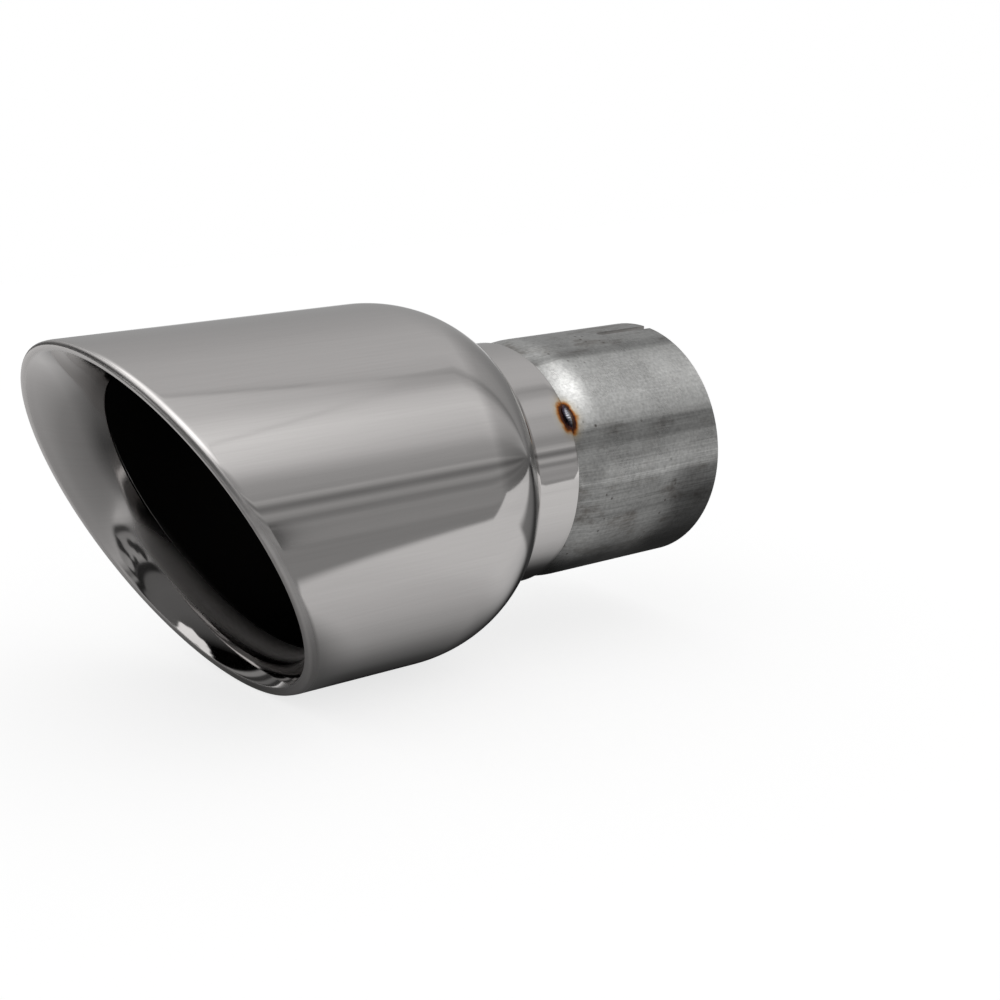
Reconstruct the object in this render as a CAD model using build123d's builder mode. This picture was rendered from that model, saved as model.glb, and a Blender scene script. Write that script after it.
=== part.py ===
from build123d import *
from math import asin, cos, degrees, radians, sin, sqrt, tan
import os

os.makedirs("parts", exist_ok=True)

# Slip-on exhaust tip for a 3 inch tailpipe, in millimetres and degrees.
# X runs from the inlet's open end, at the origin, to the mouth. Z points at the long side of
# the slanted mouth. Angles round the tip are counted from +Z towards +Y.

# Driving sizes of the inlet tube
pipe_diameter = 76.2        # outside of the tailpipe that the inlet slips over
slip_clearance = 0.2        # radial play between the tailpipe and the inlet
tube_wall = 1.2
socket_length = 52.0        # expanded, slotted end that takes the tailpipe
flare_length = 13.0         # where the tube grows from its spigot to the socket
spigot_step = 1.4           # how much smaller the spigot's bore is than the socket's, in radius
spigot_overhang = 8.0       # how far the spigot reaches past the neck, into the bell
slot_width = 2.8
slot_length = 24.0
slot_count = 2
slot_angle = 4.5
end_break = 0.25            # edges of the tube's cut end

# Driving sizes of the shell
overall_length = 228.6      # from the inlet's end to the long side of the mouth
shell_diameter = 114.3
shell_wall = 1.4
spigot_clearance = 0.1      # radial gap between the spigot and the neck
edge_gap = 0.4              # from the end of the flare to the neck's edge
neck_length = 18.5
bell_length = 35.0          # from the neck to the straight part of the shell
bell_lead = 9.3             # how far the bell's quarter ellipse would dip inside the neck
neck_fillet = 2.5
neck_edge_round = 0.6
slash_angle = 30.0          # of the mouth, from square
nose_radius = 1.45          # of the rim's fold, outside
rim_width = 2.65            # from the shell's outside to where the lip would leave an unrounded rim
lip_depth = 20.0            # how far the curled lip reaches back into the mouth, along the axis
lip_start_lean = 45.0       # of the lip towards the axis, at the rim
lip_end_lean = 8.0          # and at its free edge

# Tack welds at the neck's edge
tack_count = 3
tack_angle = 55.0
tack_length = 8.4
tack_width = 5.4
tack_rise = 1.0             # above the neck
tack_crown = 0.9            # round of the bead's top

# Sizes that follow
socket_bore = pipe_diameter / 2 + slip_clearance
socket_radius = socket_bore + tube_wall
shell_radius = shell_diameter / 2
neck_start = socket_length + flare_length + edge_gap
neck_end = neck_start + neck_length
shell_start = neck_end + bell_length
spigot_end = neck_end + spigot_overhang
spigot_bore = socket_bore - spigot_step
spigot_radius = spigot_bore + tube_wall
neck_bore = spigot_radius + spigot_clearance
neck_radius = neck_bore + shell_wall
bell_drop = shell_radius - neck_radius + bell_lead
bell_reach = bell_length / sqrt(1 - (bell_lead / bell_drop) ** 2)
slash = radians(slash_angle)
nose_setback = nose_radius / cos(slash) - nose_radius
mouth_centre = overall_length - (shell_radius - nose_radius) * tan(slash) + nose_setback
lip_start = shell_radius - rim_width
start_lean = radians(lip_start_lean)
lip_curl = lip_depth / (sin(start_lean) - sin(radians(lip_end_lean)))
overrun = overall_length + shell_radius

mouth_normal = (cos(slash), 0, -sin(slash))


# Plane through the axis whose normal points away from it at an angle round the tip
def round_the_tip(angle):
    return Plane.XY.rotated((-angle, 0, 0))


# Plane parallel to the mouth, a depth behind it along the axis
def mouth_plane(depth):
    return Plane(origin=(mouth_centre - depth, 0, 0), x_dir=(0, 1, 0), z_dir=mouth_normal)


# Half section of the bell and the straight shell, drawn inset from the outside by a wall,
# with the neck as a plain cylinder.
def bell_section(inset, neck_open_end):
    neck = neck_radius - inset
    drop = bell_drop - inset
    dip = neck - (shell_radius - bell_drop)
    with BuildSketch(Plane.XZ) as section:
        with BuildLine():
            bell = EllipticalCenterArc(
                (shell_start, shell_radius - bell_drop),
                bell_reach - inset,
                drop,
                start_angle=90,
                arc_size=90 - degrees(asin(dip / drop)),
            )
            Polyline(
                bell @ 0,
                (overrun, shell_radius - inset),
                (overrun, 0),
                (neck_open_end, 0),
                (neck_open_end, neck),
                bell @ 1,
            )
        make_face()
    return section.sketch


# The circle where the bell meets the neck
def neck_circle(part, radius):
    return part.edges().filter_by(GeomType.CIRCLE).filter_by(
        lambda edge: abs(edge.radius - radius) < 0.01 and edge.center().X > neck_end - neck_fillet
    )


# Room in front of the curled lip, or with the lip's own wall, from before the mouth to the
# lip's free edge. Each section is an ellipse in its slanted plane and a circle seen along X.
def lip_room(wall):
    with BuildPart() as room:
        for step in range(-1, 6):
            depth = step * lip_depth / 5
            lean = asin(sin(start_lean) - depth / lip_curl)
            radius = lip_start - lip_curl * (cos(lean) - cos(start_lean)) + wall / cos(lean)
            with BuildSketch(mouth_plane(depth)):
                Ellipse(radius, radius / cos(slash))
        loft()
    return room.part


# Outside of the shell, solid and not yet cut at the mouth
with BuildPart() as shell_form:
    revolve(bell_section(0, neck_start), axis=Axis.X)
    fillet(neck_circle(shell_form, neck_radius), neck_fillet)
    fillet(shell_form.faces().sort_by(Axis.X)[0].edges(), neck_edge_round)

# Inside of the shell, as far as the fold at the rim
with BuildPart() as hollow:
    revolve(bell_section(shell_wall, neck_start - shell_wall), axis=Axis.X)
    fillet(neck_circle(hollow, neck_bore), neck_fillet + shell_wall)
    split(bisect_by=mouth_plane(0).offset(-shell_wall), keep=Keep.BOTTOM)

# Shell: neck, bell, straight barrel, slanted mouth and folded rim, formed from one tube
with BuildPart() as outer_shell:
    add(shell_form.part)
    split(bisect_by=mouth_plane(0), keep=Keep.BOTTOM)
    add(lip_room(0), mode=Mode.SUBTRACT)
    rim = outer_shell.faces().filter_by(Axis((0, 0, 0), mouth_normal)).sort_by(Axis.X)[-1]
    fillet(rim.edges(), nose_radius)
    add(hollow.part - lip_room(shell_wall), mode=Mode.SUBTRACT)

# Inlet: spigot inside the neck, flare, and slotted socket
with BuildPart() as inlet_tube:
    with BuildSketch(Plane.XZ):
        with BuildLine():
            outer_flare = Spline(
                (socket_length, socket_radius),
                (socket_length + flare_length, spigot_radius),
                tangents=((1, 0), (1, 0)),
            )
            inner_flare = Spline(
                (socket_length, socket_bore),
                (socket_length + flare_length, spigot_bore),
                tangents=((1, 0), (1, 0)),
            )
            Polyline(inner_flare @ 0, (0, socket_bore), (0, socket_radius), outer_flare @ 0)
            Polyline(outer_flare @ 1, (spigot_end, spigot_radius), (spigot_end, spigot_bore), inner_flare @ 1)
        make_face()
    revolve(axis=Axis.X)
    chamfer(inlet_tube.faces().sort_by(Axis.X)[0].edges(), end_break)
    for turn in range(slot_count):
        with BuildSketch(round_the_tip(slot_angle + turn * 360 / slot_count)):
            SlotOverall(2 * slot_length, slot_width)
        extrude(amount=socket_radius + tube_wall, mode=Mode.SUBTRACT)

# Tack welds: low oval beads lying along the neck's edge, with their foot on the spigot
tack_welds = []
for turn in range(tack_count):
    with BuildPart() as tack:
        with BuildSketch(round_the_tip(tack_angle + turn * 360 / tack_count)):
            with Locations((neck_start, 0)):
                Ellipse(tack_width / 2, tack_length / 2)
        extrude(amount=neck_radius + tack_rise)
        crown = tack.faces().filter_by(GeomType.PLANE).sort_by(lambda face: face.center().length)[-1]
        fillet(crown.edges(), tack_crown)
        with BuildSketch(Plane.YZ):
            Circle(spigot_radius)
        extrude(amount=spigot_end, mode=Mode.SUBTRACT)
        add(shell_form.part, mode=Mode.SUBTRACT)
        add(inlet_tube.part, mode=Mode.SUBTRACT)
    tack.part.label = f"tack_weld_{turn + 1}"
    tack_welds.append(tack.part)

outer_shell.part.label = "outer_shell"
inlet_tube.part.label = "inlet_tube"

for piece in [outer_shell.part, inlet_tube.part] + tack_welds:
    export_step(piece, f"parts/{piece.label}.step")
    print(piece.label, "volume mm3", round(piece.volume, 1))
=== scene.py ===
import bpy
import bmesh
from math import asin, atan2, cos, degrees, hypot, pi, radians, sin, sqrt, tan
from mathutils import Matrix, Vector


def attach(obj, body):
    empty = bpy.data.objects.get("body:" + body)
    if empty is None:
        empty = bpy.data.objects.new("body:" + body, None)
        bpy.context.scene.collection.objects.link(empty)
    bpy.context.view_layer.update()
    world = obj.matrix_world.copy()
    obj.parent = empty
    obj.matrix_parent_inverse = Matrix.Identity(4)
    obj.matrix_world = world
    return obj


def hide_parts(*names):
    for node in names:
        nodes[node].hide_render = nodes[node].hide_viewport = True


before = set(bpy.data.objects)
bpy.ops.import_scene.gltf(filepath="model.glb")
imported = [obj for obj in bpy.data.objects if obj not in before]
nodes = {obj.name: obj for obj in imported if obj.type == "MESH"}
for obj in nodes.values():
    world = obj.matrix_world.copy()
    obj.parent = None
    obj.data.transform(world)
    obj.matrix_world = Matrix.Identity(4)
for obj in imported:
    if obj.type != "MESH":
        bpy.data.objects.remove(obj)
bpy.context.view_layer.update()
mm = 0.001

# camera, in millimetres in the tip's own frame
camera = {
    "place": (567.92, 529.88, 192.19),
    "right": (-0.73201, 0.67948, 0.04965),
    "up": (-0.14882, -0.23058, 0.96160),
    "lens": 82.96,
    "sensor": 36,
    "clipStart": 10,
}

camData = bpy.data.cameras.new("camera")
camData.lens = camera["lens"]
camData.sensor_width = camera["sensor"]
camData.clip_start = camera["clipStart"] * mm
camObject = bpy.data.objects.new("camera", camData)
bpy.context.collection.objects.link(camObject)
right = Vector(camera["right"]).normalized()
up = Vector(camera["up"])
up = (up - right * up.dot(right)).normalized()
turn = Matrix((right, up, right.cross(up))).transposed().to_4x4()
camObject.matrix_world = Matrix.Translation(Vector(camera["place"]) * mm) @ turn
bpy.context.scene.camera = camObject
print("camera set")


def newObject(name, bm):
    mesh = bpy.data.meshes.new(name)
    bm.to_mesh(mesh)
    bm.free()
    obj = bpy.data.objects.new(name, mesh)
    bpy.context.collection.objects.link(obj)
    for face in mesh.polygons:
        face.use_smooth = True
    return obj


# shell: a half section spun round the axis, then slanted towards the mouth
shell = {
    "radius": 57.15,
    "wall": 1.4,
    "neckStart": 65.4,
    "neckEnd": 83.9,
    "neckRadius": 39.6,
    "neckEdgeRound": 0.6,
    "neckFillet": 2.5,
    "bellEnd": 118.9,
    "bellLead": 9.3,
    "mouthCentre": 196.674,
    "slash": 30.0,
    "slantMargin": 1.0,
    "noseRadius": 1.45,
    "lipStart": 54.5,
    "lipDepth": 20.0,
    "curlDepth": 16.0,
    "lipStartLean": 45.5,
    "lipEndLean": 12.5,
    "edgeRound": 0.45,
    "edgeCorner": (0.13, 0.1),
    "backShort": 0.5,
    "foldGap": 0.1,
    "crownLength": 2.4,
    "crownDrop": 0.18,
    "crownPower": 2.5,
    "turns": 288,
    "steps": {"neckEdge": 5, "neck": 8, "crease": 12, "bell": 44, "barrel": 22, "crown": 10, "nose": 10,
              "fold": 8, "curl": 24, "lipEnd": 6, "lipBack": 12, "innerBarrel": 20, "innerBell": 32,
              "innerNeck": 6},
}


def arcPoints(heart, radius, start, end, count):
    angles = [radians(start + (end - start) * i / count) for i in range(count + 1)]
    return [(heart[0] + radius * cos(a), heart[1] + radius * sin(a)) for a in angles]


def linePoints(start, end, count):
    shares = [i / count for i in range(count + 1)]
    return [(start[0] + (end[0] - start[0]) * f, start[1] + (end[1] - start[1]) * f) for f in shares]


# the crease at the neck and the bell's quarter ellipse, inset by a wall
def bellPoints(s, inset, count):
    drop = s["radius"] - s["neckRadius"] + s["bellLead"]
    reach = (s["bellEnd"] - s["neckEnd"]) / sqrt(1 - (s["bellLead"] / drop) ** 2)
    heart = (s["bellEnd"], s["radius"] - drop)
    a, b = reach - inset, drop - inset
    fillet = s["neckFillet"] + inset
    neck = s["neckRadius"] - inset

    def onBell(t):
        across = (cos(t) / a, sin(t) / b)
        size = hypot(*across)
        return (heart[0] + a * cos(t), heart[1] + b * sin(t)), (across[0] / size, across[1] / size)

    # halving finds where the fillet's circle touches both the bell and the neck
    low, high = pi / 2, pi
    for _ in range(60):
        t = (low + high) / 2
        point, across = onBell(t)
        if point[1] + fillet * across[1] > neck + fillet:
            low = t
        else:
            high = t
    filletHeart = (point[0] + fillet * across[0], neck + fillet)
    filletEnd = degrees(atan2(-across[1], -across[0])) % 360
    crease = arcPoints(filletHeart, fillet, 270, filletEnd, s["steps"]["crease"])
    return crease + [onBell(t + (pi / 2 - t) * i / count)[0] for i in range(1, count + 1)]


# where the fold's nose starts along the axis, before the slant
def noseStart(s):
    return s["mouthCentre"] - s["noseRadius"] / cos(radians(s["slash"]))


# crown towards the rim, the fold's nose, and the lip that curls in behind it to its free edge
def rimPoints(s):
    outside, wall, nose, steps = s["radius"], s["wall"], s["noseRadius"], s["steps"]
    noseX = noseStart(s)
    front = noseX + nose
    points = []
    for i in range(1, steps["crown"] + 1):
        f = i / steps["crown"]
        points.append((noseX - s["crownLength"] * (1 - f), outside - s["crownDrop"] * f ** s["crownPower"]))
    for i in range(1, steps["nose"] + 1):
        t = radians(90 - 90 * i / steps["nose"])
        points.append((noseX + nose * cos(t), outside - nose + (nose - s["crownDrop"]) * sin(t)))
    startLean, endLean = radians(s["lipStartLean"]), radians(s["lipEndLean"])
    curl = s["curlDepth"] / (sin(startLean) - sin(endLean))
    curlHeart = (front - curl * sin(startLean), s["lipStart"] + curl * cos(startLean))
    foldHeart = (noseX, curlHeart[1] - sqrt((curl - nose) ** 2 - (noseX - curlHeart[0]) ** 2))
    foldLean = degrees(asin((noseX - curlHeart[0]) / (curl - nose)))
    points += arcPoints(foldHeart, nose, 0, foldLean - 90, steps["fold"])
    points += arcPoints(curlHeart, curl, foldLean - 90, s["lipEndLean"] - 90, steps["curl"])[1:]
    # straight end of the lip, its rounded free edge, and its back up to the fold
    freeX, edge = front - s["lipDepth"], s["edgeRound"]
    low = points[-1][1] - (points[-1][0] - freeX - edge) * tan(endLean)
    points += linePoints(points[-1], (freeX + edge, low), steps["lipEnd"])[1:]
    cornerX, cornerR = s["edgeCorner"]
    points += [(freeX + cornerX, low + cornerR), (freeX, low + edge), (freeX, low + wall - edge),
               (freeX + cornerX, low + wall - cornerR), (freeX + edge, low + wall)]
    points += arcPoints(curlHeart, curl - wall, s["lipEndLean"] - 90, s["lipStartLean"] - 90 - s["backShort"],
                        steps["lipBack"])
    return points + [(points[-1][0] - s["foldGap"], outside - wall)]


def shellSection(s):
    wall, edge, steps = s["wall"], s["neckEdgeRound"], s["steps"]
    # neck's open edge, neck and bell
    points = [(s["neckStart"], s["neckRadius"] - wall)]
    points += arcPoints((s["neckStart"] + edge, s["neckRadius"] - edge), edge, 180, 90, steps["neckEdge"])
    bell = bellPoints(s, 0, steps["bell"])
    points += linePoints(points[-1], bell[0], steps["neck"])[1:] + bell[1:]
    # straight barrel and the rim
    points += linePoints(points[-1], (noseStart(s) - s["crownLength"], s["radius"]), steps["barrel"])[1:]
    points += rimPoints(s)
    # inside of the barrel, the bell and the neck
    inner = bellPoints(s, wall, steps["innerBell"])
    points += linePoints(points[-1], inner[-1], steps["innerBarrel"])[1:] + inner[-2::-1]
    return points + linePoints(points[-1], points[0], steps["innerNeck"])[1:-1]


def spinSection(points, turns):
    bm = bmesh.new()
    verts = [bm.verts.new((x * mm, 0, r * mm)) for x, r in points]
    edges = [bm.edges.new((verts[i], verts[(i + 1) % len(verts)])) for i in range(len(verts))]
    bmesh.ops.spin(bm, geom=verts + edges, cent=(0, 0, 0), axis=(1, 0, 0), angle=2 * pi,
                   steps=turns, use_merge=True)
    bmesh.ops.remove_doubles(bm, verts=bm.verts, dist=1e-7)
    bmesh.ops.recalc_face_normals(bm, faces=bm.faces)
    return bm


# moves each ring along the axis by its height, more and more from the bell to the lip
def slantMouth(bm, s):
    slope = tan(radians(s["slash"]))
    noseX = noseStart(s)
    fullFrom = noseX - s["lipDepth"] - s["slantMargin"]
    for v in bm.verts:
        x, r = v.co.x / mm, hypot(v.co.y, v.co.z) / mm
        if x <= s["bellEnd"]:
            continue
        phi = atan2(v.co.y, v.co.z)
        share = min(1, (x - s["bellEnd"]) / (fullFrom - s["bellEnd"]))
        ahead = max(0, x - noseX) * (sqrt(1 + (slope * sin(phi)) ** 2) - 1)
        v.co.x = (x + ahead + share * slope * cos(phi) * min(r, s["radius"] - s["noseRadius"])) * mm


shellMesh = spinSection(shellSection(shell), shell["turns"])
slantMouth(shellMesh, shell)
shellObject = newObject("polishedShell", shellMesh)
print("shell", len(shellObject.data.polygons), "faces")

# tack welds: domed beads with a ripple, on the neck's edge and the tube
tack = {
    "count": 3,
    "angle": 55.3,
    "ahead": -0.3,
    "length": 8.3,
    "width": 5.4,
    "rise": 0.95,
    "roundness": 0.6,
    "fill": 0.55,
    "ripple": 0.05,
    "ripples": 5,
    "foot": 38.12,
    "sunk": 0.05,
    "climbFrom": -1.3,
    "climbLength": 1.5,
    "segments": (64, 40),
}


def tackBead(number, t, s):
    bm = bmesh.new()
    bmesh.ops.create_uvsphere(bm, u_segments=t["segments"][0], v_segments=t["segments"][1], radius=1)
    middle = radians(t["angle"] + number * 360 / t["count"])
    for v in bm.verts:
        a, b, c = v.co
        dome = 1 - min(1, hypot(a, b)) ** 2
        x = s["neckStart"] + t["ahead"] + t["width"] / 2 * a
        f = min(1, max(0, (x - s["neckStart"] - t["climbFrom"]) / t["climbLength"]))
        base = t["foot"] + (s["neckRadius"] - t["foot"]) * f * f * (3 - 2 * f)
        top = base + (s["neckRadius"] - base) * t["fill"] * dome + t["rise"] * dome ** t["roundness"]
        top += t["ripple"] * cos(2 * pi * t["ripples"] * b) * dome
        r = top if c >= 0 else max(t["foot"], base - t["sunk"])
        angle = middle + t["length"] / 2 * b / s["neckRadius"]
        v.co = (x * mm, r * sin(angle) * mm, r * cos(angle) * mm)
    bmesh.ops.recalc_face_normals(bm, faces=bm.faces)
    return newObject("tackBead%d" % (number + 1), bm)


beads = [tackBead(i, tack, shell) for i in range(tack["count"])]
print("tack beads", len(beads))


def newMaterial(name):
    mat = bpy.data.materials.new(name)
    mat.use_nodes = True
    mat.node_tree.nodes.clear()
    return mat, mat.node_tree


def newGroup(name, inputs, outputs):
    tree = bpy.data.node_groups.new(name, "ShaderNodeTree")
    for label, kind in inputs:
        tree.interface.new_socket(name=label, in_out="INPUT", socket_type="NodeSocket" + kind)
    for label, kind in outputs:
        tree.interface.new_socket(name=label, in_out="OUTPUT", socket_type="NodeSocket" + kind)
    return tree, tree.nodes.new("NodeGroupInput").outputs, tree.nodes.new("NodeGroupOutput")


# an input is a value or a socket
def setInputs(tree, node, inputs):
    for key, value in inputs.items():
        if isinstance(value, bpy.types.NodeSocket):
            tree.links.new(value, node.inputs[key])
        else:
            node.inputs[key].default_value = value


def put(tree, kind, inputs={}, **settings):
    node = tree.nodes.new("ShaderNode" + kind)
    for key, value in settings.items():
        setattr(node, key, value)
    setInputs(tree, node, inputs)
    return node


def place(tree, group, inputs):
    node = tree.nodes.new("ShaderNodeGroup")
    node.node_tree = group
    setInputs(tree, node, inputs)
    return node.outputs


def calc(tree, operation, *values):
    return put(tree, "Math", dict(enumerate(values)), operation=operation).outputs[0]


def plus(tree, first, *others):
    for value in others:
        first = calc(tree, "ADD", first, value)
    return first


def minus(tree, first, second):
    return calc(tree, "SUBTRACT", first, second)


def times(tree, first, *others):
    for value in others:
        first = calc(tree, "MULTIPLY", first, value)
    return first


def below(tree, value, limit):
    return calc(tree, "LESS_THAN", value, limit)


def remap(tree, value, low, high, toLow=0.0, toHigh=1.0, kind="LINEAR"):
    limits = {"Value": value, "From Min": low, "From Max": high, "To Min": toLow, "To Max": toHigh}
    return put(tree, "MapRange", limits, interpolation_type=kind).outputs[0]


# the same with soft ends
def fade(tree, value, low, high, toLow=0.0, toHigh=1.0):
    return remap(tree, value, low, high, toLow, toHigh, "SMOOTHSTEP")


def noise(tree, where, scale, detail, roughness=0.5):
    looks = {"Vector": where, "Scale": scale, "Detail": detail, "Roughness": roughness}
    return put(tree, "TexNoise", looks).outputs[0]


def blend(tree, share, first, second, how="MIX"):
    return put(tree, "Mix", {0: share, 6: first, 7: second}, data_type="RGBA", blend_type=how).outputs[2]


def multiplied(tree, first, second):
    return blend(tree, 1.0, first, second, "MULTIPLY")


# stops are (value, grey or colour), and the value runs from low to high
def ramp(tree, value, stops, low, high):
    node = put(tree, "ValToRGB", {0: remap(tree, value, low, high)})
    elements = node.color_ramp.elements
    elements.remove(elements[-1])
    for i, (at, level) in enumerate(stops):
        stop = elements[0] if i == 0 else elements.new((at - low) / (high - low))
        stop.position = (at - low) / (high - low)
        stop.color = (level, level, level, 1) if isinstance(level, (int, float)) else (*level, 1)
    return node.outputs[0]


# group: distance along the tip, angle round it and radius, and a point on a plain tube for the grain
grainScale = {"along": 18.0, "across": 50.0}

tipOutputs = [("Along", "Float"), ("Angle", "Float"), ("Radius", "Float"), ("Grain", "Vector")]
roundTip, given, out = newGroup("roundTip", [("Place", "Vector")], tipOutputs)
x, y, z = put(roundTip, "SeparateXYZ", {0: given["Place"]}).outputs
radius = calc(roundTip, "SQRT", plus(roundTip, times(roundTip, y, y), times(roundTip, z, z)))
grain = put(roundTip, "CombineXYZ", {
    0: times(roundTip, x, grainScale["along"]),
    1: calc(roundTip, "DIVIDE", times(roundTip, y, grainScale["across"]), radius),
    2: calc(roundTip, "DIVIDE", times(roundTip, z, grainScale["across"]), radius),
})
setInputs(roundTip, out, {
    "Along": times(roundTip, x, 1 / mm),
    "Angle": calc(roundTip, "DEGREES", calc(roundTip, "ARCTAN2", y, z)),
    "Radius": times(roundTip, radius, 1 / mm),
    "Grain": grain.outputs[0],
})

# group: lines of drawing and polishing along the axis, fine and broad
lineNoise = {"fine": (1.6, 4.0, 0.65), "broad": (0.22, 2.0, 0.5)}

drawnLines, given, out = newGroup("drawnLines", [("Grain", "Vector"), ("Fine", "Float"), ("Broad", "Float")],
                                  [("Fine", "Float"), ("Broad", "Float"), ("Height", "Float")])
fineLine = minus(drawnLines, noise(drawnLines, given["Grain"], *lineNoise["fine"]), 0.5)
fineLine = times(drawnLines, fineLine, given["Fine"])
broadLine = minus(drawnLines, noise(drawnLines, given["Grain"], *lineNoise["broad"]), 0.5)
broadLine = times(drawnLines, broadLine, given["Broad"])
bothLines = plus(drawnLines, fineLine, broadLine)
setInputs(drawnLines, out, {"Fine": fineLine, "Broad": broadLine, "Height": bothLines})

# group: heat tint round each tack, straw to brown, and how much of it covers the metal
heatLook = {
    "pastLength": 0.5,
    "pastWidth": 0.7,
    "uneven": (420.0, 2.0),
    "wander": (0.3, 0.7, -0.12, 0.12),
    "reach": 3.0,
    "tint": [(0.0, (0.04, 0.03, 0.03)), (0.96, (0.05, 0.02, 0.015)), (1.06, (0.12, 0.04, 0.015)),
             (1.16, (0.36, 0.12, 0.02)), (1.32, (0.44, 0.23, 0.06)), (1.46, (0.52, 0.40, 0.22)),
             (1.9, (0.56, 0.51, 0.42))],
    "cover": [(0.0, 1.0), (1.15, 1.0), (1.32, 0.7), (1.5, 0.3), (2.2, 0.0)],
}

heatTint, given, out = newGroup("heatTint", [("Along", "Float"), ("Angle", "Float"), ("Place", "Vector")],
                                [("Tint", "Color"), ("Cover", "Float")])
apart = 360 / tack["count"]
turned = calc(heatTint, "FLOORED_MODULO", minus(heatTint, given["Angle"], tack["angle"] - apart / 2), apart)
acrossTack = times(heatTint, minus(heatTint, turned, apart / 2),
                   radians(1) * shell["neckRadius"] / (tack["length"] / 2 + heatLook["pastLength"]))
alongTack = calc(heatTint, "DIVIDE", minus(heatTint, given["Along"], shell["neckStart"] + tack["ahead"]),
                 tack["width"] / 2 + heatLook["pastWidth"])
away = calc(heatTint, "SQRT", plus(heatTint, times(heatTint, acrossTack, acrossTack),
                                   times(heatTint, alongTack, alongTack)))
uneven = noise(heatTint, given["Place"], *heatLook["uneven"])
away = plus(heatTint, away, remap(heatTint, uneven, *heatLook["wander"]))
setInputs(heatTint, out, {
    "Tint": ramp(heatTint, away, heatLook["tint"], 0.0, heatLook["reach"]),
    "Cover": ramp(heatTint, away, heatLook["cover"], 0.0, heatLook["reach"]),
})


# what the shell's and the tube's metal have in common
def startMetal(name, look):
    mat, tree = newMaterial(name)
    coords = put(tree, "TexCoord").outputs
    tip = place(tree, roundTip, {"Place": coords["Object"]})
    lines = place(tree, drawnLines, {"Grain": tip["Grain"], "Fine": look["fine"], "Broad": look["broad"]})
    heat = place(tree, heatTint, {"Along": tip["Along"], "Angle": tip["Angle"], "Place": coords["Object"]})
    return mat, tree, coords, tip, lines, heat


# above nought where a face looks away from the axis, below where it looks at it
def awayFromAxis(tree, coords):
    spoke = put(tree, "VectorMath", {0: coords["Object"], 1: (0.0, 1.0, 1.0)}, operation="MULTIPLY")
    facing = put(tree, "VectorMath", {0: coords["Normal"], 1: spoke.outputs[0]}, operation="DOT_PRODUCT")
    return facing.outputs["Value"]


def finishMetal(tree, colour, rough, height, wave):
    bump = put(tree, "Bump", {"Strength": 1.0, "Distance": wave, "Height": height})
    shader = put(tree, "BsdfPrincipled", {"Base Color": colour, "Metallic": 1.0, "Roughness": rough,
                                          "Normal": bump.outputs[0]})
    put(tree, "OutputMaterial", {0: shader.outputs[0]})


# polished steel of the shell; depths and places in millimetres, heights in metres
polish = {
    "colour": (0.62, 0.60, 0.59, 1),
    "roughness": 0.06,
    "fine": 0.28,
    "broad": 0.26,
    "wave": 4e-6,
    "fineShade": 0.35,
    "fineRoughness": 0.25,
    "smear": (22.0, 3.0),
    "smearRoughness": (0.45, 0.75, 0.0, 0.05),
    "streakWander": 6.0,
    # streaks along the shell's side: partly the metal's own, partly painted reflections
    "streaksAndReflections": [(60, 1.0), (64, 0.97), (66, 1.02), (69, 1.0), (70.5, 0.90), (72, 1.0), (74, 0.93), (76, 0.90),
                (78, 1.02), (82, 1.05), (85, 0.98), (88, 1.0)],
    "neckLinesEnd": (-1, 3),
    # lines along the neck: partly the metal's own, partly painted reflections
    "neckLinesAndReflections": [(38, 1.0), (44, 0.88), (50, 0.78), (54, 0.68), (59, 0.80), (64, 0.88), (66.5, 0.95),
                  (68, 1.4), (69.5, 0.92), (72, 1.08), (73, 1.3), (74.2, 1.55), (75.8, 1.1), (78, 1.36),
                  (80, 1.2), (82.5, 1.3), (85, 1.1), (88, 1.0), (90, 1.06), (98, 1.04), (102, 1.0)],
    # colour of the painted highlight along the crease at the bell's foot
    "crease": (0.95, 0.95, 0.95, 1),
    "creaseFoot": (0.05, 0.4),
    "creaseTop": (1.6, 2.2),
    "creaseEnd": 4,
    # inside colours: painted shade, lighter near the lip low down
    "inside": (0.05, 0.048, 0.047, 1),
    "insideNear": (0.90, 0.89, 0.88, 1),
    "insideFrom": 0.6,
    "insideRoughness": 0.45,
    "nearRougher": 0.5,
    "nearDepth": (0.5, 7.0, 1.0, 0.0),
    "nearHeight": (-0.012, -0.030),
    "dullLip": 0.75,
    "dullFrom": (8.2, 12.5),
    "dullTo": (13.5, 19.0, 1.0, 0.45),
    "dullHeight": (-0.008, -0.030, 0.08, 1.0),
    "cutEdge": (0.06, 0.058, 0.056, 1),
    "cutEdgeFrom": (19.2, 19.7, 0.0, 0.75),
    "cutEdgeEnd": 1.2,
    "cutEdgeInside": 2.5,
    "foldRoughness": 0.32,
    "foldDepth": (1.0, 2.4, 1.0, 0.0),
    "foldRadius": (53.8, 54.6),
}

polishedSteel, t, coords, tip, lines, heat = startMetal("polishedSteel", polish)
# light and dark streaks along the side, by the angle round the tip: partly the metal's own streaks and partly
# painted reflections
wandering = plus(t, tip["Angle"], times(t, lines["Broad"], polish["streakWander"]))
colour = multiplied(t, polish["colour"], ramp(t, wandering, polish["streaksAndReflections"], 0, 180))
colour = multiplied(t, colour, plus(t, 1.0, times(t, lines["Fine"], polish["fineShade"])))
# light and dark lines along the neck, by the same angle, partly the metal's own and partly painted
# reflections, and a painted highlight along the crease at the bell's foot
onNeck = fade(t, tip["Along"], *[shell["neckEnd"] + past for past in polish["neckLinesEnd"]], 1.0, 0.0)
colour = blend(t, onNeck, colour, multiplied(t, colour, ramp(t, tip["Angle"], polish["neckLinesAndReflections"], 0, 180)))
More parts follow.
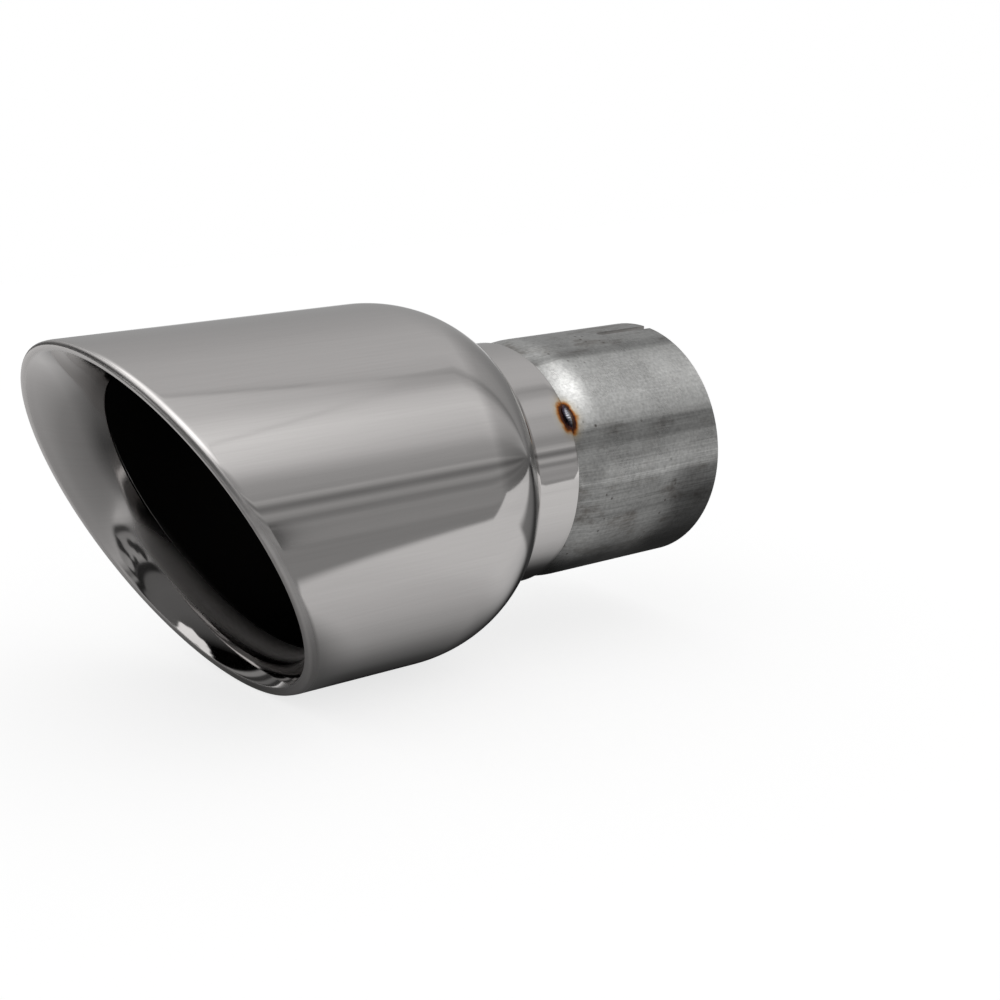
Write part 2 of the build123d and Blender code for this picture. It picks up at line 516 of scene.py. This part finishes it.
# painted highlight: a pale line along the crease at the bell's foot
creaseHighlight = times(t, fade(t, tip["Radius"], *[shell["neckRadius"] + up for up in polish["creaseFoot"]]),
                fade(t, tip["Radius"], *[shell["neckRadius"] + up for up in polish["creaseTop"]], 1.0, 0.0),
                below(t, tip["Along"], shell["neckEnd"] + polish["creaseEnd"]))
colour = blend(t, creaseHighlight, colour, polish["crease"])
colour = blend(t, heat["Cover"], colour, heat["Tint"])
# inside painted dark as painted shade: its faces look at the axis, behind the lip; near the lip and low down
# the shade is painted lighter
height = put(t, "SeparateXYZ", {0: coords["Object"]}).outputs[2]
inward = below(t, awayFromAxis(t, coords), 0.0)
lipEndAt = plus(t, shell["mouthCentre"] - shell["lipDepth"] - polish["insideFrom"],
                times(t, height, tan(radians(shell["slash"])) / mm))
inside = times(t, below(t, tip["Along"], lipEndAt), inward)
nearLip = times(t, fade(t, minus(t, lipEndAt, tip["Along"]), *polish["nearDepth"]),
                fade(t, height, *polish["nearHeight"]))
colour = blend(t, inside, colour, blend(t, nearLip, polish["inside"], polish["insideNear"]))
rough = plus(t, polish["roughness"], times(t, calc(t, "ABSOLUTE", lines["Fine"]), polish["fineRoughness"]),
             remap(t, noise(t, coords["Object"], *polish["smear"]), *polish["smearRoughness"]))
# duller back of the lip, low down, and its dark cut edge
depth = minus(t, plus(t, lipEndAt, shell["lipDepth"]), tip["Along"])
lipBack = times(t, fade(t, depth, *polish["dullFrom"]), fade(t, depth, *polish["dullTo"]),
                fade(t, height, *polish["dullHeight"]), inward)
rough = plus(t, rough, times(t, lipBack, polish["dullLip"]))
cutEdge = times(t, fade(t, depth, *polish["cutEdgeFrom"]),
                below(t, depth, shell["lipDepth"] + polish["cutEdgeEnd"]),
                below(t, tip["Radius"], shell["radius"] - polish["cutEdgeInside"]))
colour = blend(t, cutEdge, colour, polish["cutEdge"])
# satin fold of the rim
fold = times(t, fade(t, depth, *polish["foldDepth"]), fade(t, tip["Radius"], *polish["foldRadius"]))
rough = plus(t, rough, times(t, fold, polish["foldRoughness"]))
insideRough = plus(t, polish["insideRoughness"], times(t, nearLip, polish["nearRougher"]))
rough = calc(t, "MAXIMUM", rough, times(t, inside, insideRough))
finishMetal(t, colour, rough, lines["Height"], polish["wave"])

# duller steel of the tube; places in millimetres and degrees
mill = {
    "colour": (0.50, 0.50, 0.49, 1),
    "roughness": 0.28,
    "fine": 1.0,
    "broad": 0.9,
    "wave": 1.5e-5,
    "cloud": (60.0, 6.0, 0.6),
    "cloudWear": (0.32, 0.68, 0.84, 1.13),
    "cloudRoughness": (0.3, 0.7, -0.05, 0.1),
    "speck": (900.0, 3.0),
    "speckWear": (0.3, 0.7, -0.15, 0.15),
    "speckHeight": 0.5,
    "pitCells": 300.0,
    "pitSize": (0.08, 0.20, 1.0, 0.0),
    "pitClouds": (0.50, 0.58),
    "pits": 0.7,
    "pitColour": (0.08, 0.068, 0.06, 1),
    "pitRoughness": 0.3,
    "pitHeight": -1.5,
    "bandWander": 2.5,
    # bands round the tube: partly the metal's own, partly painted reflections
    "bandsAndReflections": [(-40, 0.95), (0, 0.82), (14, 0.75), (18, 0.60), (20, 0.52), (22, 0.55), (24, 0.95), (30, 1.15),
              (36, 1.28), (40, 1.42), (46, 1.18), (50, 1.10), (54, 0.95), (58, 0.98), (61.8, 0.92),
              (62.5, 0.58), (67, 0.66), (72.5, 0.86), (73.2, 1.2), (82, 1.22), (86.5, 0.95), (88, 0.90),
              (89.2, 1.2), (90.2, 0.62), (91.0, 0.75), (92, 0.58), (100, 0.56), (107, 0.52), (111, 0.66),
              (120, 0.68), (150, 0.75), (179, 0.75)],
    "scratched": [(-40, 0.7), (20, 0.8), (26, 0.4), (60, 0.4), (64, 1.2), (74, 0.8), (86, 1.4), (112, 1.2),
                  (140, 0.6)],
    # painted shade at the low side of the open end, along and round the tube
    "endShadeAlong": (14.0, 27.0, 0.45, 0.0),
    "endShadeRound": (83.0, 92.0),
    # painted sheen on the flare, along and round the tube
    "flareSheenAlong": (48.0, 56.0, 0.0, 0.42),
    "flareSheenRound": [(-40, 0.6), (20, 0.9), (36, 1.0), (48, 0.2), (60, 0.0)],
    # brownish stain colour, partly painted shade on the low side
    "stainAndShade": (0.42, 0.38, 0.35, 1),
    "stainStretch": (0.45, 1.0, 1.0),
    "stainNoise": (150.0, 5.0, 0.65),
    "stainCover": (0.46, 0.70, 0.0, 0.85),
    "stainAndShadeRound": [(-30, 0.3), (-10, 1.0), (20, 1.0), (24, 0.0), (60, 0.0), (63, 0.6), (72, 0.4), (76, 0.1),
                   (88, 0.3), (91, 1.0), (112, 0.9), (140, 0.4)],
    "sideways": 0.6,
    "slotWall": (0.30, 0.29, 0.28, 1),
    "slotFacing": 0.02,
    # inside of the tube, painted dark as painted shade
    "inside": (0.12, 0.115, 0.11, 1),
    "insideFacing": -0.01,
}

millSteel, t, coords, tip, lines, heat = startMetal("millSteel", mill)
cloud = noise(t, coords["Object"], *mill["cloud"])
speck = noise(t, coords["Object"], *mill["speck"])
pitCells = put(t, "TexVoronoi", {"Vector": coords["Object"], "Scale": mill["pitCells"]})
pits = times(t, remap(t, pitCells.outputs["Distance"], *mill["pitSize"]), remap(t, cloud, *mill["pitClouds"]))
# light and dark bands along the tube, by the angle round it, partly the metal's own and partly painted
# reflections, with painted shade at the low side of the open end
wandering = plus(t, tip["Angle"], times(t, lines["Broad"], mill["bandWander"]))
# painted shade: darker at the low side of the open end
paintedEndShade = times(t, fade(t, tip["Along"], *mill["endShadeAlong"]), fade(t, tip["Angle"], *mill["endShadeRound"]))
bandsAndReflections = times(t, ramp(t, wandering, mill["bandsAndReflections"], -180, 180), minus(t, 1.0, paintedEndShade))
colour = multiplied(t, mill["colour"], bandsAndReflections)
# painted sheen: the flare brighter where it faces the light
flareSheen = times(t, fade(t, tip["Along"], *mill["flareSheenAlong"]),
                  ramp(t, tip["Angle"], mill["flareSheenRound"], -180, 180))
colour = multiplied(t, colour, plus(t, 1.0, flareSheen))
wear = plus(t, remap(t, cloud, *mill["cloudWear"]),
            times(t, lines["Fine"], ramp(t, tip["Angle"], mill["scratched"], -180, 180)),
            remap(t, speck, *mill["speckWear"]))
colour = multiplied(t, colour, wear)
# brownish stains where the bands are dull: partly the tube's own stains and partly painted shade on its low
# side
drawn = put(t, "VectorMath", {0: coords["Object"], 1: mill["stainStretch"]}, operation="MULTIPLY")
stainedAndShaded = times(t, ramp(t, tip["Angle"], mill["stainAndShadeRound"], -180, 180),
                fade(t, noise(t, drawn.outputs[0], *mill["stainNoise"]), *mill["stainCover"]))
colour = blend(t, stainedAndShaded, colour, multiplied(t, colour, mill["stainAndShade"]))
colour = blend(t, times(t, pits, mill["pits"]), colour, mill["pitColour"])
colour = blend(t, heat["Cover"], colour, heat["Tint"])
# walls of the slots, and the inside painted dark as painted shade
lengthways = put(t, "SeparateXYZ", {0: coords["Normal"]}).outputs[0]
sideways = below(t, calc(t, "ABSOLUTE", lengthways), mill["sideways"])
facing = awayFromAxis(t, coords)
colour = blend(t, times(t, sideways, below(t, facing, mill["slotFacing"])), colour, mill["slotWall"])
colour = blend(t, times(t, sideways, below(t, facing, mill["insideFacing"])), colour, mill["inside"])
rough = plus(t, mill["roughness"], remap(t, cloud, *mill["cloudRoughness"]),
             times(t, pits, mill["pitRoughness"]))
grit = plus(t, times(t, speck, mill["speckHeight"]), times(t, pits, mill["pitHeight"]))
finishMetal(t, colour, rough, plus(t, lines["Height"], grit), mill["wave"])

# glossy heat-darkened bead, with a painted highlight on its crown
beadLook = {
    "dark": (0.035, 0.028, 0.040, 1),
    # colour of the painted highlight on the bead's crown
    "pale": (0.55, 0.56, 0.60, 1),
    "rust": (0.14, 0.035, 0.015, 1),
    "rustShare": 0.7,
    "roughness": 0.16,
    "flow": (380.0, 3.0),
    "flowShare": (0.35, 0.6),
    "crownFrom": (0.5, 0.95),
    "footTo": (0.05, 0.4),
}

tackMetal, t = newMaterial("tackMetal")
coords = put(t, "TexCoord").outputs
tip = place(t, roundTip, {"Place": coords["Object"]})
# painted highlight: the crown paler
crown = fade(t, tip["Radius"], *[shell["neckRadius"] + up for up in beadLook["crownFrom"]])
crown = times(t, crown, remap(t, noise(t, coords["Object"], *beadLook["flow"]), *beadLook["flowShare"]))
foot = fade(t, tip["Radius"], *[shell["neckRadius"] + up for up in beadLook["footTo"]], 1.0, 0.0)
colour = blend(t, crown, beadLook["dark"], beadLook["pale"])
colour = blend(t, times(t, foot, beadLook["rustShare"]), colour, beadLook["rust"])
shader = put(t, "BsdfPrincipled", {"Base Color": colour, "Metallic": 1.0, "Roughness": beadLook["roughness"]})
put(t, "OutputMaterial", {0: shader.outputs[0]})

shellObject.data.materials.append(polishedSteel)
for name, node in nodes.items():
    node.data.materials.clear()
    node.data.materials.append({"outer_shell": polishedSteel, "inlet_tube": millSteel}.get(name, tackMetal))
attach(shellObject, "root")
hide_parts("outer_shell")
for i, bead in enumerate(beads):
    bead.data.materials.append(tackMetal)
    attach(bead, "root")
    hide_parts("tack_weld_%d" % (i + 1))
print("materials set")

# floor, in metres; its shine, a painted glow with a painted shadow of the tip, and its slanting near edge
# show in the metal only
floorPlan = {
    "x": (-1.6, 0.75),
    "y": (-0.6, 1.3),
    "z": -0.0572,
    "white": 0.75,
    "colour": (0.62, 0.62, 0.62, 1),
    "reach": 0.5,
    "shine": [(0.0, 0.01), (0.02, 0.02), (0.028, 0.05), (0.038, 0.16), (0.045, 0.27), (0.053, 0.38),
              (0.07, 0.52), (0.08, 0.56), (0.107, 0.64), (0.14, 0.66), (0.20, 0.66), (0.50, 0.70)],
    "shineAlong": [(-0.28, 1.0), (-0.12, 1.08), (0.05, 1.08), (0.10, 1.0)],
    "narrower": (0.05, 0.09, 1.4, 1.0),
    "ahead": (0.14, 0.165),
    "foot": 0.033,
    "shineAhead": [(0.0, 0.10), (0.03, 0.20), (0.06, 0.27), (0.09, 0.43), (0.12, 0.60), (0.20, 0.66)],
    "shineLater": (0.155, 0.192, 0.35, 1.0),
    "shade": (0.05, 0.05, 0.05, 1),
    "shadeTurn": 0.8,
    "shadeBehind": (0.010, 0.036, 0.75, 0.0),
    "shadeAside": (0.08, 0.13, 1.0, 0.0),
    "farSide": (-0.16, -0.34),
    "farWhite": (0.85, 0.85, 0.85, 1),
    "edgeTurn": 0.65,
    "edge": (0.12, 0.26, 0.227, 0.185),
    "edgeBlur": (-0.012, 0.012),
}

bm = bmesh.new()
bmesh.ops.create_grid(bm, x_segments=1, y_segments=1, size=0.5)
for v in bm.verts:
    v.co = (floorPlan["x"][v.co.x > 0], floorPlan["y"][v.co.y > 0], floorPlan["z"])
floor = newObject("floor", bm)
paleFloor, t = newMaterial("paleFloor")
here = put(t, "TexCoord").outputs["Object"]
x, y, _ = put(t, "SeparateXYZ", {0: here}).outputs
aside = calc(t, "ABSOLUTE", y)
reach = floorPlan["reach"]
path = put(t, "LightPath").outputs
matt = put(t, "BsdfDiffuse", {"Color": floorPlan["colour"]})
lift = put(t, "Emission", {"Strength": times(t, path["Is Camera Ray"], floorPlan["white"])})
seenPlain = put(t, "AddShader", {0: matt.outputs[0], 1: lift.outputs[0]})
# painted shadow of the tip: the shine is low near where the tip stands and rises away from it
offTip = times(t, aside, fade(t, x, *floorPlan["narrower"]))
shine = multiplied(t, ramp(t, offTip, floorPlan["shine"], 0.0, reach),
                   ramp(t, x, floorPlan["shineAlong"], -reach, reach))
# ahead of the mouth the shade fades with the distance from where the tip stands
foot = (shell["mouthCentre"] * mm - floorPlan["foot"], 0, floorPlan["z"])
fromFoot = put(t, "VectorMath", {0: here, 1: foot}, operation="DISTANCE").outputs["Value"]
shineAhead = multiplied(t, ramp(t, fromFoot, floorPlan["shineAhead"], 0.0, reach),
                        remap(t, x, *floorPlan["shineLater"]))
shine = blend(t, fade(t, x, *floorPlan["ahead"]), shine, shineAhead)
# a shade beyond the inlet's end, and the plain white of the far side
slantwise = plus(t, x, times(t, aside, floorPlan["shadeTurn"]))
shaded = times(t, fade(t, slantwise, *floorPlan["shadeBehind"]), fade(t, aside, *floorPlan["shadeAside"]))
shine = blend(t, shaded, shine, floorPlan["shade"])
shine = blend(t, fade(t, y, *floorPlan["farSide"]), shine, floorPlan["farWhite"])
inMetal = put(t, "Emission", {"Color": shine, "Strength": 1.0})
# past the near edge the metal sees through the floor
pastEdge = minus(t, plus(t, y, times(t, x, floorPlan["edgeTurn"])), remap(t, x, *floorPlan["edge"]))
clear = put(t, "BsdfTransparent", {"Color": (1, 1, 1, 1)})
inMetal = put(t, "MixShader", {0: fade(t, pastEdge, *floorPlan["edgeBlur"]), 1: inMetal.outputs[0],
                               2: clear.outputs[0]})
seenFloor = put(t, "MixShader", {0: path["Is Glossy Ray"], 1: seenPlain.outputs[0], 2: inMetal.outputs[0]})
put(t, "OutputMaterial", {0: seenFloor.outputs[0]})
floor.data.materials.append(paleFloor)

# world: level light, and in the metal a studio seen by the angle round the tip's axis, in degrees,
# and by how far forward along it a ray points, from -1 to 1
studio = {
    "level": 0.42,
    "overhead": [(-180, 0.25), (-110, 0.30), (-90, 0.36), (-70, 0.40), (-50, 0.47), (-30, 0.56), (-10, 0.59),
                 (0, 0.56), (10, 0.58), (20, 0.71), (30, 0.80), (40, 0.72), (50, 0.60), (55, 0.48),
                 (59, 0.41), (64, 0.375), (66, 0.35), (67.8, 0.50), (69.5, 0.36), (72, 0.19), (74, 0.25),
                 (76.3, 0.41), (78.2, 0.36), (80.5, 0.24), (82.6, 0.29), (84.7, 0.36), (87, 0.30), (95, 0.31),
                 (97.5, 0.26), (100, 0.28), (180, 0.27)],
    "along": [(-1, 0.5), (-0.86, 0.70), (-0.77, 1.0), (1, 1.0)],
    "seam": {"start": 4.8, "turn": -135.0, "from": -0.64, "core": 0.4, "dark": 0.78,
             "softness": (-0.675, -0.645, 6.0, 2.2)},
    "secondSeam": {"start": 4.6, "turn": 94.3, "from": -0.641, "line": (0.3, 1.9, 0.84, 1.0)},
    "panelEdge": (0.0, 2.0),
    "panelEnd": (44.0, 54.0, 1.0, 0.0),
    "panelGain": (-0.65, -0.55, 0.0, 0.26),
    "closing": (-0.645, -0.625, 0.16, 0.0),
    "closingRound": (12.0, 20.0, 1.0, 0.0),
    "spot": {"round": 89.0, "half": 9.0, "along": -0.585, "deep": 0.0075, "edge": (0.8, 1.1, 0.25, 1.0)},
    "frontFrom": (-0.22, -0.06),
    "laterFrom": (-75.0, -50.0, 0.0, 0.35),
    "laterTo": (30.0, 55.0, 1.0, 0.0),
    "frontSlant": 64.0,
    "frontReach": 250,
    "front": [(-70, 0.0), (-60, 0.02), (-40, 0.08), (-10, 0.12), (20, 0.13), (38, 0.12), (41, 0.02),
              (49, 0.02), (51, 0.30), (58, 0.34), (66, 0.28), (78, 0.26), (80, 0.03), (84, 0.03),
              (87, 0.45), (95, 0.50), (110, 0.40)],
    "lowFront": [(-130, 0.05), (-110, 0.10), (-104, 0.20), (-97, 0.20), (-94, 0.05), (-86, 0.04), (-84, 0.16),
                 (-80, 0.16), (-78, 0.04), (-72, 0.05), (-70, 0.28), (-64, 0.28), (-61, 0.03), (-60, 0.0)],
    "blots": (5.0, 1.0),
    "blotBand": (50.0, 80.0),
    "blotCover": (0.50, 0.54, 0.0, 0.95),
    "blotColour": (0.01, 0.01, 0.01, 1),
    "windows": [{"toward": (0.965, -0.03, 0.24), "width": 10.0, "strength": 1.0},
                {"toward": (0.07, 0.22, 0.97), "width": 7.0, "strength": 0.40},
                {"toward": (-0.72, -0.67, -0.22), "width": 11.0, "strength": 0.25}],
    "windowBlur": 3,
    "windowRagged": (0.3, 0.7, -0.03, 0.03),
    "lampRound": [(-50, 0.0), (-20, 1.0), (36, 1.0), (54, 0.0)],
    "lampAlong": [(-0.50, 0.0), (-0.38, 1.0), (-0.24, 1.0), (-0.10, 0.0)],
    "lamp": 0.9,
}
world = bpy.data.worlds.new("studio")
bpy.context.scene.world = world
world.use_nodes = True
t = world.node_tree
t.nodes.clear()
way = put(t, "TexCoord").outputs["Generated"]
forward, y, z = put(t, "SeparateXYZ", {0: way}).outputs
around = calc(t, "DEGREES", calc(t, "ARCTAN2", y, z))
level = multiplied(t, ramp(t, around, studio["overhead"], -180, 180),
                   ramp(t, forward, studio["along"], -1, 1))
# two seams overhead that part towards the mouth, and a panel beyond the first that brightens that way
seam, second = studio["seam"], studio["secondSeam"]
parted = minus(t, calc(t, "MAXIMUM", forward, seam["from"]), seam["from"])
fromSeam = minus(t, around, plus(t, seam["start"], times(t, parted, seam["turn"])))
past = times(t, fade(t, fromSeam, *studio["panelEdge"]), fade(t, around, *studio["panelEnd"]))
lighter = times(t, past, remap(t, forward, *studio["panelGain"]))
level = multiplied(t, level, plus(t, 1.0, lighter))
closing = times(t, fade(t, forward, *studio["closing"]), fade(t, around, *studio["closingRound"]))
level = multiplied(t, level, minus(t, 1.0, times(t, past, closing)))
level = multiplied(t, level, fade(t, calc(t, "ABSOLUTE", fromSeam), seam["core"],
                                  remap(t, forward, *seam["softness"]), seam["dark"], 1.0))
parted = calc(t, "SQRT", calc(t, "MAXIMUM", minus(t, forward, second["from"]), 0.0))
fromSecond = minus(t, around, plus(t, second["start"], times(t, parted, second["turn"])))
line = fade(t, calc(t, "ABSOLUTE", fromSecond), *second["line"])
level = multiplied(t, level, calc(t, "MAXIMUM", line, below(t, forward, second["from"])))
# a dark spot at the side
spot = studio["spot"]
across = calc(t, "DIVIDE", minus(t, around, spot["round"]), spot["half"])
deep = calc(t, "DIVIDE", minus(t, forward, spot["along"]), spot["deep"])
level = multiplied(t, level, fade(t, plus(t, times(t, across, across), times(t, deep, deep)), *spot["edge"]))
# what the lip sees ahead of the mouth: mostly dark, with a few pale things in it
slanted = minus(t, around, times(t, forward, studio["frontSlant"]))
reach = studio["frontReach"]
ahead = blend(t, 1.0, ramp(t, slanted, studio["front"], -reach, reach),
              ramp(t, around, studio["lowFront"], -180, 180), "ADD")
blots = noise(t, way, *studio["blots"])
low, high = studio["blotBand"]
blot = times(t, calc(t, "GREATER_THAN", slanted, low), below(t, slanted, high),
             fade(t, blots, *studio["blotCover"]))
ahead = blend(t, blot, ahead, studio["blotColour"])
later = times(t, fade(t, around, *studio["laterFrom"]), fade(t, around, *studio["laterTo"]))
level = blend(t, fade(t, minus(t, forward, later), *studio["frontFrom"]), level, ahead)
ragged = remap(t, blots, *studio["windowRagged"])
for window in studio["windows"]:
    toward = Vector(window["toward"]).normalized()
    near = put(t, "VectorMath", {0: way, 1: toward}, operation="DOT_PRODUCT").outputs["Value"]
    outer, inner = [cos(radians(window["width"] + side * studio["windowBlur"])) for side in (1, -1)]
    pane = fade(t, plus(t, near, ragged), outer, inner, 0.0, window["strength"])
    level = blend(t, 1.0, level, pane, "ADD")
# a lamp overhead, added to the rest
lamp = multiplied(t, ramp(t, around, studio["lampRound"], -180, 180),
                  ramp(t, forward, studio["lampAlong"], -1, 1))
light = put(t, "Background", {"Color": level})
above = put(t, "Background", {"Color": (1, 1, 1, 1), "Strength": times(t, lamp, studio["lamp"])})
inGloss = put(t, "AddShader", {0: light.outputs[0], 1: above.outputs[0]})
plain = put(t, "Background", {"Color": (1, 1, 1, 1), "Strength": studio["level"]})
white = put(t, "Background", {"Color": (1, 1, 1, 1), "Strength": 1.0})
path = put(t, "LightPath").outputs
seen = put(t, "MixShader", {0: path["Is Glossy Ray"], 1: plain.outputs[0], 2: inGloss.outputs[0]})
seen = put(t, "MixShader", {0: path["Is Camera Ray"], 1: seen.outputs[0], 2: white.outputs[0]})
put(t, "OutputWorld", {0: seen.outputs[0]})

bpy.context.scene.view_settings.view_transform = "Standard"
print("floor and world set")
